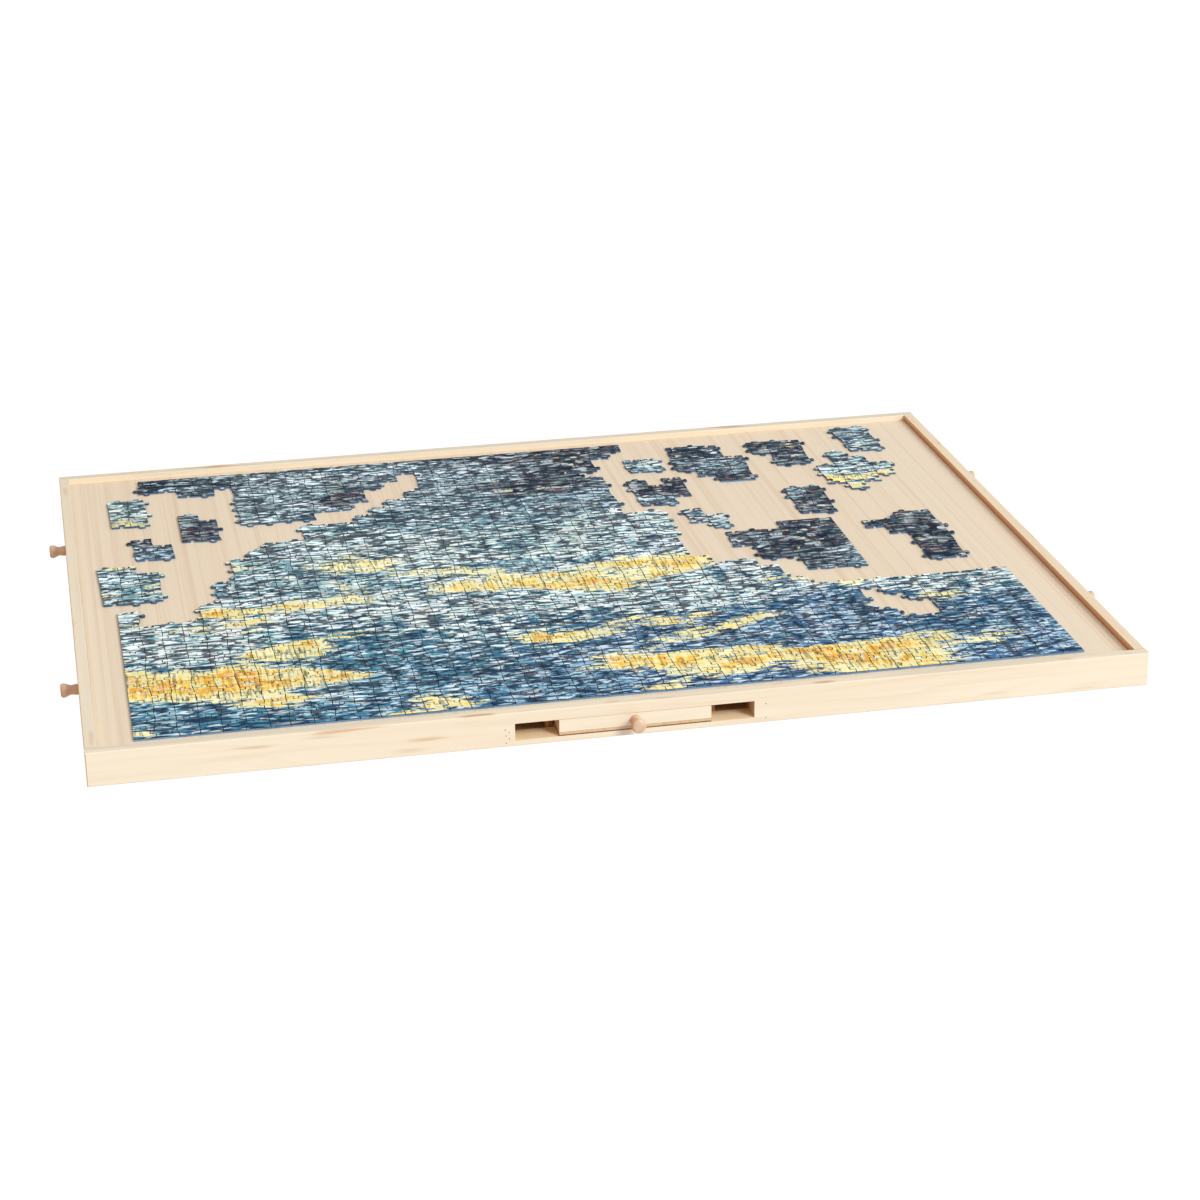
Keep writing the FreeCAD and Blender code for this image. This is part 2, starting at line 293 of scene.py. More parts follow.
def timber(name, grain, pale, late, resin, ring=3.4 * mm, line_share=0.4, resin_share=0.5,
           stain_share=0.8, inner_shade_share=0.0):
    """Planed softwood cut from a log: growth rings through the solid, fibres, streaks and stains, plus
    painted shade and light.
    """
    finish = Finish(name, IOR=wood_ior)
    point = finish.grained(grain)
    across, up = finish.split(point)[1:]
    drift = finish.noise(point, (1.7, 9.0, 9.0), detail=3.0)
    wander = finish.noise(point, (5.0, 26.0, 26.0))
    fibre = finish.noise(point, (30.0, 1100.0, 1100.0))
    vein = finish.noise(point, (7.0, 210.0, 210.0), roughness=0.6)
    soft_patch = finish.noise(point, (2.4, 12.0, 12.0)).ease(0.35, 0.7)
    streak = finish.noise(point, (9.0, 120.0, 120.0), (3.0, 0.0, 0.0), detail=1.0).ease(0.66, 0.76)
    stain = finish.noise(point, (6.0, 70.0, 40.0), (8.0, 0.0, 0.0)).ease(0.38, 0.54)
    knot = finish.noise(point, (19.0, 85.0, 40.0), (0.0, 4.0, 0.0), detail=1.0).ease(0.62, 0.74)
    pith_side = across - pith_across
    pith_height = up - pith_up
    radius = (pith_side * pith_side + pith_height * pith_height).root()
    rings = radius / ring + drift * ring_drift + wander * ring_wander
    late_wood = rings.fraction() ** late_wood_power
    top = finish.facing("Z").ease(0.5, 0.9)
    end_grain = finish.facing(grain).size().ease(0.7, 0.95)
    colour = finish.mix(drift.ease(0.3, 0.75) * 0.35, pale, late)
    colour = finish.mix(late_wood * soft_patch * line_share, colour, late)
    colour = finish.mix(vein.ease(0.45, 0.75) * 0.3, colour, late)
    colour = finish.mix(streak * resin_share, colour, resin)
    # Every top a little greyer as painted shade, and more so where the stains lie
    colour = finish.mix(top * (0.2 + stain * stain_share), colour, top_stain_and_shade_tone)
    colour = finish.mix(top * knot * (1.3 * resin_share), colour, resin)
    colour = finish.mix(end_grain * 0.6, colour, resin)
    # Painted shade: the face turned towards -X, the right rail's inner wall, darkened towards the resin
    # tone and darker still at its foot
    if inner_shade_share:
        shaded_inner_side = finish.facing("X").ease(-0.5, -0.9)
        colour = finish.mix(shaded_inner_side * inner_shade_share, colour, resin)
        colour = finish.mix(shaded_inner_side * up.ease(*rim_foot_shade_fade) * 0.4, colour, rim_foot_shade_tone)
    # Painted light: upward faces low down, the slots' floors, turned paler and oranger
    colour = finish.mix(top * up.ease(*slot_floor_light_fade) * 0.9, colour, slot_floor_light_tone)
    colour = finish.mix(fibre.ease(0.35, 0.7) * 0.16, colour, grey(0.95), "MULTIPLY")
    finish.shade(
        Base_Color=colour,
        Roughness=0.56 + fibre * 0.12 - late_wood * 0.05,
        Normal=finish.bump(fibre + vein * 0.7, 0.05 * mm, 0.35),
    )
    return finish.material


def plywood(name, grain, pale, deep, under, layer, foot=0.0):
    """A rotary-cut face with straight fine grain, a raw underside, edges that show the layers, and painted
    shade on some edges and one underside.
    """
    finish = Finish(name, IOR=wood_ior)
    point = finish.grained(grain)
    up = finish.split(point)[2]
    drift = finish.noise(point, (1.1, 5.5, 5.5), detail=3.0)
    broad = finish.noise(point, (0.9, 34.0, 20.0))
    lines = finish.noise(point, (1.4, 260.0, 60.0), roughness=0.6)
    fibre = finish.noise(point, (42.0, 1300.0, 900.0))
    dark_line = finish.noise(point, (0.7, 95.0, 30.0), (5.0, 0.0, 0.0), detail=1.0).ease(0.64, 0.7)
    hair_line = finish.noise(point, (0.5, 420.0, 30.0), detail=0.0).ease(0.68, 0.76)
    dash = finish.noise(point, (60.0, 700.0, 700.0), detail=0.0).ease(0.72, 0.8)
    facing = finish.facing("Z")
    edge = facing.size().ease(0.6, 0.4)
    # Dark lines where layers meet; a sheet one layer thick gets them at both arrises, painted shade at a
    # seam and a gap
    glue_and_seam_shade = (((up - foot) / layer).fraction() - 0.5).size().ease(0.2, 0.45)
    # Painted shade: a dark band along the lower edge, just above the sheet's foot (the floor when none is
    # given)
    lower_edge_shade = edge * up.ease(*(foot + height for height in lower_edge_shade_fade))
    colour = finish.mix(drift.ease(0.3, 0.7) * 0.14, pale, deep)
    colour = finish.mix(broad.ease(0.42, 0.72) * 0.09, colour, deep)
    colour = finish.mix(lines.ease(0.45, 0.75) * 0.45, colour, deep)
    colour = finish.mix(dark_line * 0.26 + hair_line * 0.36, colour, deep)
    colour = finish.mix(dash * 0.14, colour, deep)
    colour = finish.mix(edge * glue_and_seam_shade * 0.5, colour, deep)
    colour = finish.mix(lower_edge_shade, colour, lower_edge_shade_tone)
    # The underside in its own tone; on the work surface it is a painted shade
    colour = finish.mix(facing.ease(-0.5, -0.9), colour, under)
    finish.shade(
        Base_Color=colour,
        Roughness=0.6 + fibre * 0.14,
        Normal=finish.bump(fibre + lines * 0.5, 0.04 * mm, 0.3),
    )
    return finish.material


def turned_beech(name, grain, pale, deep):
    """Beech turned on the lathe: close grain with short flecks, and faint tool rings."""
    finish = Finish(name, IOR=wood_ior)
    point = finish.grained(grain)
    along = finish.split(point)[0]
    drift = finish.noise(point, (40.0, 120.0, 120.0))
    fleck = finish.noise(point, (260.0, 1800.0, 1800.0), detail=1.0).ease(0.58, 0.72)
    fibre = finish.noise(point, (160.0, 2600.0, 2600.0))
    tool_rings = (along * tool_ring_rate).sine()
    colour = finish.mix(drift.ease(0.3, 0.7) * 0.5, pale, deep)
    colour = finish.mix(fleck * 0.35, colour, deep)
    finish.shade(
        Base_Color=colour,
        Roughness=0.5 + fibre * 0.14,
        Normal=finish.bump(fibre + tool_rings * 0.25, 0.03 * mm, 0.35),
    )
    return finish.material


def both_ways(make, name, **settings):
    """One wood twice, with its grain along X and along Y."""
    return {way: make(name + "_along_" + way.lower(), way, **settings) for way in "XY"}


def dress(material, *nodes):
    """Give CAD nodes a finish."""
    for node in nodes:
        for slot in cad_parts[node].material_slots:
            slot.material = material


def dress_frame(runner_pine):
    """Finishes for the rails, panels and bearers."""
    long_rail = timber("frame_pine_along_x", "X", **frame_tones, resin_share=0.6)
    left_rail = timber("frame_pine_along_y", "Y", **frame_tones, resin_share=0.25, stain_share=0.2)
    # The right rail's tones, with painted shade on its inner wall
    right_rail = timber("right_rail_pine_along_y", "Y", **right_rail_tones, stain_share=0.15, inner_shade_share=0.6)
    dress(long_rail, "front_rail", "back_rail")
    dress(left_rail, "left_rail")
    dress(right_rail, "right_rail")
    dress(runner_pine["Y"], "left_long_bearer", "right_long_bearer")
    dress(runner_pine["X"], "left_bearers", "right_bearers")
    dress(plywood("surface_ply_along_y", "Y", **surface_tones, layer=2.0 * mm), "work_surface")
    dress(plywood("bottom_ply_along_x", "X", **bottom_tones, layer=1.0 * mm), "bottom_panel")


def dress_drawers(runner_pine):
    """Finishes for the drawers and their runners, with the grain along each strip."""
    strip_pine = both_ways(timber, "drawer_pine", **drawer_tones, resin_share=0.25, line_share=0.3)
    # The drawer bottom counts as one layer: its edge darkens at both arrises as painted shade at the seam
    # under the front and the gap below
    tray_ply = both_ways(plywood, "drawer_ply", **tray_tones, layer=3.3 * mm, foot=5.3 * mm)
    for place, way in drawer_ways.items():
        cross = "X" if way == "Y" else "Y"
        dress(strip_pine[cross], place + "_drawer_front", place + "_drawer_back")
        dress(strip_pine[way], place + "_drawer_sides")
        dress(tray_ply[way], place + "_drawer_bottom")
        dress(runner_pine[way], place + "_runners")


# New pieces

def finished(bm, name, materials, smooth=False):
    """A mesh piece at the origin, with its normals outwards."""
    bmesh.ops.recalc_face_normals(bm, faces=bm.faces[:])
    mesh = bpy.data.meshes.new(name)
    bm.to_mesh(mesh)
    bm.free()
    for material in materials:
        mesh.materials.append(material)
    if smooth:
        mesh.shade_smooth()
    piece = bpy.data.objects.new(name, mesh)
    bpy.context.scene.collection.objects.link(piece)
    return piece


# Turned knobs

# The knob's profile in millimetres: radius and distance out of the drawer front
knob_profile = [
    (4.2, 0.0), (4.65, 0.15), (4.7, 0.7), (4.66, 2.2), (4.42, 3.6), (4.14, 4.9), (4.1, 5.8),
    (4.3, 6.9), (4.78, 8.2), (5.38, 9.5), (5.9, 10.7), (6.16, 11.8), (6.18, 12.7), (5.95, 13.7),
    (5.35, 14.5), (4.5, 14.93), (2.4, 15.0), (0.0, 15.0),
]
knob_steps = 40
merge_distance = 0.01 * mm


def turned_knob(place, way, material):
    """A smooth knob spun round the axis of its CAD node."""
    node = place + "_knob"
    low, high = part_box(node)
    centre = (low + high) / 2
    axis = "XY".index(way)
    outwards = Vector((0, 0, 0))
    outwards[axis] = math.copysign(1, centre[axis])
    foot = centre - outwards * ((high - low)[axis] / 2)
    bm = bmesh.new()
    ring = [bm.verts.new(foot + outwards * (out * mm) + Vector((0, 0, radius * mm)))
            for radius, out in knob_profile]
    edges = [bm.edges.new(pair) for pair in zip(ring, ring[1:])]
    bmesh.ops.spin(
        bm, geom=ring + edges, cent=foot, axis=outwards, dvec=(0, 0, 0),
        angle=2 * math.pi, steps=knob_steps, use_merge=True, use_duplicate=False,
    )
    bmesh.ops.remove_doubles(bm, verts=bm.verts[:], dist=merge_distance)
    rim = [edge for edge in bm.edges if edge.is_boundary]
    bmesh.ops.contextual_create(bm, geom=rim)
    knob = finished(bm, place + "_turned_knob", [material], smooth=True)
    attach(knob, place + "_drawer")
    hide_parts(node)


# Brads beside the slots

# Brad heads at a slot's two ends, seen from outside: distance from the slot's end and height, in
# millimetres, then the heads' radius, how far they stand out of the rail, and their form
left_brads = [(8.0, 15.2), (5.0, 12.6), (7.6, 9.8), (5.0, 7.0), (7.6, 3.2)]
right_brads = [(10.0, 16.6), (10.0, 4.0)]
brad_radius = 0.55 * mm
brad_stand = 0.12 * mm
brad_taper = 0.8
brad_sides = 12


def brad_finish():
    """Dull steel with a little rust."""
    finish = Finish("brad_steel", Metallic=0.7, IOR=1.5)
    spots = finish.noise(finish.place(), (2400.0, 2400.0, 2400.0))
    finish.shade(
        Base_Color=finish.mix(spots, tone(150, 118, 84), tone(104, 78, 56)),
        Roughness=0.4 + spots * 0.2,
    )
    return finish.material


def slot_brads(material):
    """Small brad heads in the outer face of every rail, at both ends of each drawer slot."""
    slot_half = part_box("right_long_bearer")[0].x
    upright = Matrix.Rotation(math.pi / 2, 4, "X")
    bm = bmesh.new()
    for place, way in drawer_ways.items():
        side = place.split("_")[0]
        turn = Matrix.Rotation(side_turns[side] * math.pi / 2, 4, "Z")
        low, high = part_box(place + "_drawer_front")
        shift = (turn.inverted() @ ((low + high) / 2)).x
        rail_face = max(abs(corner["XY".index(way)]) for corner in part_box(side + "_rail"))
        for end, brads in ((-1, left_brads), (1, right_brads)):
            for reach, height in brads:
                spot = Vector((shift + end * (slot_half + reach * mm), -rail_face, height * mm))
                bmesh.ops.create_cone(
                    bm, cap_ends=True, segments=brad_sides, radius1=brad_radius,
                    radius2=brad_radius * brad_taper, depth=2 * brad_stand,
                    matrix=turn @ Matrix.Translation(spot) @ upright,
                )
    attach(finished(bm, "slot_brads", [material]), "board")


# The jigsaw: the same pieces and clusters as in the solids. Its sizes come from the joined part.

# The joined pieces, drawn from the back row to the front row: one mark is one piece
joined_drawing = [
    "..###########################...............",
    "..##########################................",
    "....##.#########.##########.................",
    ".......########..##########.................",
    ".......#######...#########..................",
    ".......#######..###########.................",
    ".......######..############.................",
    ".......####...#############.................",
    ".............##############.................",
    "..........#################.................",
    "..........#################.................",
    "........#####################...............",
    ".......######################...............",
    "......#######################...............",
    "......#######################...............",
    "......#######################...............",
    ".....########################...............",
    ".....########################...............",
    ".....#########################..............",
    "#...############################............",
    "#...#############################...........",
    "#################################...........",
    "##################################..........",
    "############################################",
    "####################################.#######",
    "####################################..######",
    "####################################...#####",
    "#####################################..#####",
    "############################################",
    "############################################",
    "############################################",
    "############################################",
    "############################################",
    "############################################",
]

# Loose clusters: place from the jigsaw's front left corner in pieces, turn in degrees, sides
# that are the picture's border, the part of the picture that they show (its front left corner,
# in pieces) and the pieces, drawn from the back row to the front row
clusters = {
    "left": [
        ((0.3, 27.0), 1.0, "left", (3.0, 21.5), ["##", "##", "##", "##"]),
        ((3.8, 24.1), 0.0, "left", (12.0, 27.5), ["#.", "##", "##", "##"]),
        ((1.3, 21.9), 2.0, "right", (30.0, 28.5), ["#.", "##", "##"]),
        ((-0.6, 16.1), 1.5, "left", (0.0, 16.0), ["##.", "###", "###", "###", "###"]),
    ],
    "back": [
        ((28.7, 29.2), 3.0, "", (20.0, 17.0), ["##", "##"]),
        ((31.2, 26.8), -2.0, "front", (33.0, 28.0), ["###.", "###.", "####", "####", ".###", "..##"]),
        ((35.9, 28.7), -3.0, "", (38.0, 29.0), ["###", "###", ".##", ".##"]),
        ((38.8, 24.0), -2.0, "", (5.0, 12.0), [".#..", ".##.", "####", "####", "###.", ".#.."]),
        ((41.5, 29.9), 2.0, "", (24.0, 22.0), ["##", "##", "##", "##"]),
    ],
    "right": [
        ((28.2, 23.9), 1.0, "", (29.0, 29.0), ["#.#", "###", "###", "##."]),
        ((30.2, 19.8), 3.0, "", (30.0, 17.0), ["#.", "##", ".#"]),
        ((36.1, 20.9), -2.0, "", (36.0, 27.0), ["##", "##", "##", "##"]),
        ((31.4, 13.0), -0.5, "right back", (22.0, 27.0),
         ["...###", "######", "######", ".#####", ".#####", "...###", "...###"]),
        ((38.7, 13.0), -1.0, "", (40.0, 28.5),
         ["..##", "####", ".###", "..##", "..##", "..##", "..##"]),
    ],
}

# A tab's round head: its middle above the cut, its half width and half height, as shares of the
# cut, the angles of its points inside a set of pieces and at its open edge, and half its neck
head_place_share = 0.15
head_width_share = 0.175
head_height_share = 0.125
inner_head_angles = (212, 130, 50, -32)
open_head_angles = (232, 196, 160, 125, 90, 55, 20, -16, -52)
neck_share = 0.08

# How far corners, tabs and cuts stray, and how a tab's head varies in size and leans
corner_stray_share = 0.07
middle_stray_share = 0.07
bow_share = 0.045
head_sizes = (0.9, 1.06)
lean_share = 0.03

# Steps of the seeds of corners and cuts, from column to column and from row to row
corner_seed_step = 101
cut_column_step = 211
cut_row_step = 7
cut_seed_start = 5

# The jigsaw's place and size, and the size of one piece
jigsaw_low, jigsaw_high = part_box("puzzle_joined")
jigsaw_size = jigsaw_high - jigsaw_low
piece_size = Vector((jigsaw_size.x / len(joined_drawing[0]), jigsaw_size.y / len(joined_drawing)))

# A piece's rounded upper edge, the hairline between pieces and how far a piece may tilt
edge_round = 0.5 * mm
hairline_share = 0.011
tilt = math.radians(0.5)

# Where the finishes stand in a piece's list, and the share of a piece's width from which a side
# counts as a straight one on the picture's border
printed, rolled, cut_side, border_side = range(4)
straight_share = 0.8


def cells_of(drawing):
    """The set of (column, row) that a drawing marks, counted from its front left corner."""
    return {(column, row) for row, line in enumerate(reversed(drawing))
            for column, mark in enumerate(line) if mark == "#"}


def tab_side(column, row, upright):
    """Which way the tab of a cut points: a fixed mixed rule, so that neighbours differ."""
    mixed = 3 * column + 5 * row + column * row // 2 + 2 * upright
    return 1 if mixed % 4 < 2 else -1


class Cutter:
    """The cuts of one set of pieces, in columns and rows."""

    def __init__(self, drawing, borders):
        self.cells = cells_of(drawing)
        columns = [column for column, row in self.cells]
        rows = [row for column, row in self.cells]
        ends = {
            "left": (0, min(columns)),
            "right": (0, max(columns) + 1),
            "front": (1, min(rows)),
            "back": (1, max(rows) + 1),
        }
        self.borders = [ends[border] for border in borders.split()]

    def on_border(self, corner, axis):
        """Whether a corner stands on a border that crosses an axis."""
        return (axis, corner[axis]) in self.borders

    def corner(self, column, row):
        """A corner of the grid, a little off its place except across a border."""
        chance = random.Random(column * corner_seed_step + row)
        place = [column, row]
        for axis in (0, 1):
            stray = chance.uniform(-corner_stray_share, corner_stray_share)
            if not self.on_border((column, row), axis):
                place[axis] += stray
        return Vector(place)

    def cut(self, column, row, upright):
        """The points of one cut from its low end, without its high end."""
        start = self.corner(column, row)
        end = self.corner(column, row + 1) if upright else self.corner(column + 1, row)
        if self.on_border((column, row), 0 if upright else 1):
            return [start]
        along = end - start
        outward = Vector((-along.y, along.x)) * tab_side(column, row, upright)
        seed = column * cut_column_step + row * cut_row_step + upright + cut_seed_start
        chance = random.Random(seed)
        middle = 0.5 + chance.uniform(-middle_stray_share, middle_stray_share)
        size = chance.uniform(*head_sizes)
        lean = chance.uniform(-lean_share, lean_share)
        bow = outward * chance.uniform(-bow_share, bow_share)
        beyond = (column - 1, row) if upright else (column, row - 1)
        inner = (column, row) in self.cells and beyond in self.cells
        points = [start, start + along * (middle - neck_share) + bow]
        for angle in map(math.radians, inner_head_angles if inner else open_head_angles):
            step = middle + lean + head_width_share * size * math.cos(angle)
            out = head_place_share + head_height_share * size * math.sin(angle)
            points.append(start + along * step + outward * out + bow)
        points.append(start + along * (middle + neck_share) + bow)
        return points

    def outline(self, column, row):
        """The corners of one piece, counterclockwise."""
        front = self.cut(column, row, False)
        right = self.cut(column + 1, row, True)
        back = self.cut(column, row + 1, False)
        left = self.cut(column, row, True)
        far_right = self.corner(column + 1, row + 1)
        far_left = self.corner(column, row + 1)
        return front + right + [far_right] + back[:0:-1] + [far_left] + left[:0:-1]


def piece_set(drawing, borders, picture_corner):
    """Pieces that lie together, each a closed solid with a rounded upper edge."""
    cutter = Cutter(drawing, borders)
    bm = bmesh.new()
    picture = bm.loops.layers.uv.new("picture")
    shade = bm.verts.layers.float.new("piece_shade")
    chance = random.Random(len(cutter.cells))
    tops = []
    for column, row in sorted(cutter.cells):
        middle = Vector((column + 0.5, row + 0.5))
        lightness = chance.random()
        ring = []
        for point in cutter.outline(column, row):
            point = middle + (point - middle) * (1 - hairline_share)
            vert = bm.verts.new((point * piece_size).to_3d())
            vert[shade] = lightness
            ring.append(vert)
        tops.append(bm.faces.new(ring))
    raised = bmesh.ops.extrude_face_region(bm, geom=tops)["geom"]
    tops = [item for item in raised if isinstance(item, bmesh.types.BMFace)]
    lifted = [item for item in raised if isinstance(item, bmesh.types.BMVert)]
    side_height = jigsaw_size.z - edge_round
    bmesh.ops.translate(bm, verts=lifted, vec=(0, 0, side_height))
    straight = straight_share * piece_size.x * side_height
    for face in bm.faces:
        face.material_index = border_side if straight < face.calc_area() < 2 * straight else cut_side
    slopes = bmesh.ops.inset_individual(bm, faces=tops, thickness=edge_round, depth=edge_round)["faces"]
    for face in slopes:
        face.material_index = rolled
    for face in tops:
        face.material_index = printed
        middle = face.calc_center_median()
        lean = Vector((chance.uniform(-tilt, tilt), chance.uniform(-tilt, tilt)))
        for vert in face.verts:
            vert.co.z += min(0, (vert.co - middle).xy.dot(lean))
    for face in bm.faces:
        for loop in face.loops:
            loop[picture].uv = loop.vert.co.xy + picture_corner
    return bm


def jigsaw_object(name, sets, materials, node):
    """One object of several sets of pieces, brought to their places, that stands for a CAD node."""
    whole = bmesh.new()
    for bm, matrix in sets:
        bmesh.ops.transform(bm, matrix=matrix, verts=bm.verts[:])
        part = bpy.data.meshes.new("part")
        bm.to_mesh(part)
        bm.free()
        whole.from_mesh(part)
        bpy.data.meshes.remove(part)
    piece = finished(whole, name, materials)
    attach(piece, "board")
    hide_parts(node)


def make_jigsaw(materials):
    """The joined part and the three groups of loose clusters."""
    joined = piece_set(joined_drawing, "left right front back", Vector((0, 0)))
    corner = Matrix.Translation(jigsaw_low)
    jigsaw_object("jigsaw_joined", [(joined, corner)], materials, "puzzle_joined")
    for side, group in clusters.items():
        sets = []
        for place, turn, borders, picture_place, drawing in group:
            shift = (Vector(place) * piece_size).to_3d()
            matrix = corner @ Matrix.Translation(shift) @ Matrix.Rotation(math.radians(turn), 4, "Z")
            sets.append((piece_set(drawing, borders, Vector(picture_place) * piece_size), matrix))
        jigsaw_object("jigsaw_clusters_" + side, sets, materials, "puzzle_clusters_" + side)


# The picture: an evening lake, with sunlit reeds at the front and dark woods on the far shore

lake_stops = [
    (0.00, tone(18, 92, 136)),
    (0.05, tone(56, 134, 164)),
    (0.09, tone(194, 214, 212)),
    (0.13, tone(34, 112, 150)),
    (0.20, tone(12, 76, 112)),
    (0.27, tone(52, 134, 150)),
    (0.32, tone(210, 219, 200)),
    (0.38, tone(246, 241, 218)),
    (0.43, tone(134, 190, 190)),
    (0.49, tone(20, 78, 108)),
    (0.54, tone(166, 204, 200)),
    (0.60, tone(244, 237, 204)),
    (0.66, tone(134, 184, 178)),
    (0.73, tone(44, 106, 120)),
    (0.81, tone(190, 216, 212)),
    (0.88, tone(30, 72, 82)),
    (0.95, tone(194, 214, 208)),
    (1.00, tone(34, 54, 62)),
]
wood_stops = [
    (0.00, tone(16, 14, 16)),
    (0.11, tone(62, 42, 44)),
    (0.19, tone(22, 48, 44)),
    (0.29, tone(92, 112, 112)),
    (0.37, tone(132, 146, 142)),
    (0.45, tone(20, 21, 25)),
    (0.53, tone(172, 174, 164)),
    (0.60, tone(112, 118, 114)),
    (0.67, tone(52, 34, 36)),
    (0.75, tone(56, 94, 96)),
    (0.82, tone(20, 20, 22)),
    (0.88, tone(110, 62, 54)),
    (0.94, tone(178, 184, 178)),
    (1.00, tone(214, 200, 128)),
]
reed_stops = [
    (0.00, tone(125, 111, 62)),
    (0.22, tone(235, 225, 168)),
    (0.50, tone(237, 198, 93)),
    (0.78, tone(227, 149, 38)),
    (1.00, tone(214, 214, 171)),
]
blush_tone = tone(244, 204, 172)
glint_tone = tone(244, 248, 243)
trough_tone = tone(9, 28, 50)

# The lake's muted colours, and how far they turn green towards the left
lake_saturation = 0.8
plain_hue = 0.5
green_turn = 0.035

# Where young reeds stand on their colours' scale
young_reed_tone = 0.25


class Picture:
    """The picture's colour: level ripples, leafy woods, reeds in drifts, and strokes over them."""

    def __init__(self, finish):
        self.finish = finish
        self.where = finish.node("ShaderNodeUVMap", {"uv_map": "picture"}).outputs[0]
        self.u, v = finish.split(self.where)[:2]
        self.depth = v / jigsaw_size.y
        self.sweep = self.swells(4.3, 9.0, 0.0, (2.0, 0.0), detail=4.0, roughness=0.6) - 0.5
        self.ripple = self.swells(52.0, 180.0, 2.0, detail=3.0, roughness=0.62).ease(0.36, 0.64) - 0.5
        self.relief = self.swells(62.0, 210.0, 5.0, detail=1.0)
        leaves = finish.cells(self.where, (110.0, 125.0, 0.0))
        self.leaf_tone, leaf_stray = finish.split(leaves)[:2]
        self.shore = self.depth + self.sweep * 0.3 + (leaf_stray - 0.5) * 0.04
        self.wood_share = self.woods()
        self.drifts = self.reed_drifts()
        self.reed_share = self.drifts.ease(0.55, 0.58) * self.shore.ease(0.66, 0.56)

    def swells(self, across, deep, layer, start=(0.0, 0.0), **settings):
        """Noise over the picture, so many swells to a metre across and front to back."""
        return self.finish.noise(self.where, (across, deep, 0.0), (*start, layer), **settings)

    def woods(self):
        """The share of woods on the far shore, thicker to the right."""
        thicket = self.swells(7.0, 10.0, 1.0, (9.0, 0.0)) + (self.u - 0.5) * 0.5
        return thicket.ease(0.42, 0.5) * self.shore.ease(0.72, 0.8)

    def reed_drifts(self):
        """How dense the reeds are, widest at the front left."""
        near_bank = self.u.ease(0.32, 0.06) * self.shore.ease(0.4, 0.2)
        return self.swells(5.2, 13.0, 7.0, (4.0, 3.0)) + near_bank * 0.05 + self.ripple * 0.07

    def reed_colour(self):
        """Ripe orange reeds within the near drifts, young pale ones at their edges and beyond."""
        stalks = self.swells(300.0, 24.0, 3.0, detail=1.0).ease(0.3, 0.7)
        tufts = self.swells(18.0, 50.0, 3.0).ease(0.35, 0.65)
        ripe = self.drifts.ease(0.56, 0.66) * (1 - self.shore.ease(0.34, 0.5) * 0.6)
        reed_tone = young_reed_tone + (stalks * 0.5 + tufts * 0.5 - young_reed_tone) * ripe
        return self.finish.ramp(reed_tone, reed_stops)

    def water_and_woods(self):
        """The lake and the far shore in muted colours."""
        water = self.finish.ramp(self.depth + self.sweep * 0.75 + self.ripple * 0.17, lake_stops)
        woods = self.finish.ramp(self.leaf_tone, wood_stops)
        muting = {
            "Hue": plain_hue - self.u.ease(0.5, 0.1) * green_turn,
            "Saturation": lake_saturation,
            "Color": self.finish.mix(self.wood_share, water, woods),
        }
        return self.finish.node("ShaderNodeHueSaturation", {}, muting).outputs[0]

    def strokes(self, colour):
        """A blush and glints on the water, and dark strokes over water and reeds."""
        open_share = 1 - self.reed_share
        blush = self.swells(20.0, 110.0, 9.0, detail=1.0).ease(0.64, 0.72) * (1 - self.wood_share)
        colour = self.finish.mix(blush * 0.4 * open_share, colour, blush_tone)
        far = self.shore.ease(0.5, 0.75)
        gusts = self.swells(9.0, 26.0, 6.0, (5.0, 0.0), detail=1.0)
        glint = (self.relief + gusts * 0.4 + far * 0.022).ease(0.762, 0.825)
        glint = glint * (1 - self.wood_share * 0.75) * (1 - self.reed_share * 0.6)
        glint_share = 0.6 + self.shore.ease(0.2, 0.5) * 0.28
        colour = self.finish.mix(glint * glint_share, colour, glint_tone)
        crest = (self.swells(40.0, 125.0, 8.0, (3.0, 0.0), detail=1.0) - 0.5).size()
        trough = (crest - far * 0.014).ease(0.078, 0.032) * open_share
        gap = self.swells(340.0, 30.0, 11.0, detail=1.0).ease(0.58, 0.64) * self.reed_share
        return self.finish.mix(trough * 0.86 + gap * 0.5, colour, trough_tone)

    def colour(self):
        colour = self.finish.mix(self.reed_share, self.water_and_woods(), self.reed_colour())
        return self.strokes(colour)


# The jigsaw's finishes

board_ior = 1.45
# Pale wear on the rolled edges, also a painted highlight
wear_and_highlight_tone = tone(204, 202, 192)
# A dark blue for patches on the pieces' sides
dark_patch_tone = tone(34, 44, 66)


def printed_finish():
    """The printed face, a little lighter or darker from piece to piece."""
    finish = Finish("printed_face", IOR=1.33, Specular_IOR_Level=0.12)
    picture = Picture(finish)
    shade = Value(finish, finish.node("ShaderNodeAttribute", {"attribute_name": "piece_shade"}).outputs[2])
    finish.shade(
        Base_Color=finish.dimmed(picture.colour(), 0.98 + shade * 0.16),
        Roughness=0.62 + shade * 0.1,
        Normal=finish.bump(picture.relief, 0.05 * mm, 0.4),
    )
    return finish.material


